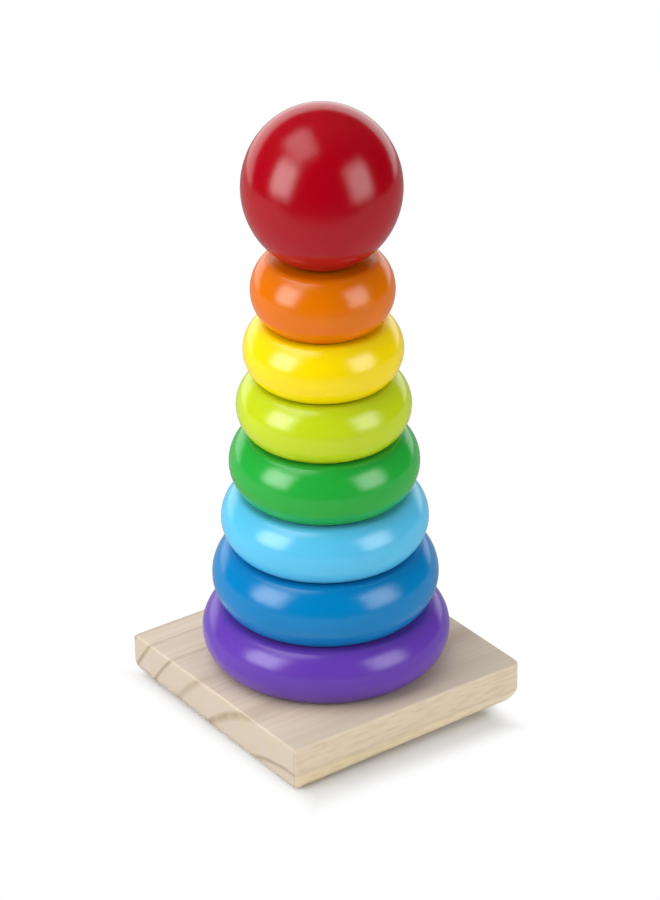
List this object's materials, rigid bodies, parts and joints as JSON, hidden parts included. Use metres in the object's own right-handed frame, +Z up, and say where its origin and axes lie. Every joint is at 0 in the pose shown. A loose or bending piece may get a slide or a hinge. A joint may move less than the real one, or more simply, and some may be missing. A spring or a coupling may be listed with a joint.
{
  "type": "wooden ring stacker",
  "caption": "Square wooden board with a hidden upright peg carrying a tapering stack of round painted rings, topped by a ball that lifts off.",
  "frame": {"origin": "centre of the board's underside", "axes": "+Z up along the peg, +X along the board's wood grain, -Y towards the front long-grain side of the board"},
  "size_m": [0.12, 0.12, 0.2743],
  "materials": {
    "pine_board": "smooth sanded, unpainted",
    "beech_peg": "smooth sanded, unpainted",
    "purple_paint": "purple gloss lacquer over wood",
    "blue_paint": "blue gloss lacquer over wood",
    "light_blue_paint": "light blue gloss lacquer over wood",
    "green_paint": "green gloss lacquer over wood",
    "lime_paint": "lime gloss lacquer over wood",
    "yellow_paint": "yellow gloss lacquer over wood",
    "orange_paint": "orange gloss lacquer over wood",
    "red_paint": "red gloss lacquer over wood"
  },
  "bodies": {
    "base": {"base_board": "pine_board", "peg": "beech_peg"},
    "purple_ring": {"purple_ring": "purple_paint"},
    "blue_ring": {"blue_ring": "blue_paint"},
    "light_blue_ring": {"light_blue_ring": "light_blue_paint"},
    "green_ring": {"green_ring": "green_paint"},
    "lime_ring": {"lime_ring": "lime_paint"},
    "yellow_ring": {"yellow_ring": "yellow_paint"},
    "orange_ring": {"orange_ring": "orange_paint"},
    "ball": {"top_ball": "red_paint"}
  },
  "joints": [
    {"name": "purple_ring_lift", "type": "slide", "parent": "base", "child": "purple_ring", "axis": [0, 0, 1], "range_m": [0, 0.2175]},
    {"name": "blue_ring_lift", "type": "slide", "parent": "purple_ring", "child": "blue_ring", "axis": [0, 0, 1], "range_m": [0, 0.1925]},
    {"name": "light_blue_ring_lift", "type": "slide", "parent": "blue_ring", "child": "light_blue_ring", "axis": [0, 0, 1], "range_m": [0, 0.164]},
    {"name": "green_ring_lift", "type": "slide", "parent": "light_blue_ring", "child": "green_ring", "axis": [0, 0, 1], "range_m": [0, 0.1385]},
    {"name": "lime_ring_lift", "type": "slide", "parent": "green_ring", "child": "lime_ring", "axis": [0, 0, 1], "range_m": [0, 0.111]},
    {"name": "yellow_ring_lift", "type": "slide", "parent": "lime_ring", "child": "yellow_ring", "axis": [0, 0, 1], "range_m": [0, 0.085]},
    {"name": "orange_ring_lift", "type": "slide", "parent": "yellow_ring", "child": "orange_ring", "axis": [0, 0, 1], "range_m": [0, 0.059]},
    {"name": "ball_lift", "type": "slide", "parent": "orange_ring", "child": "ball", "axis": [0, 0, 1], "range_m": [0, 0.03]}
  ]
}
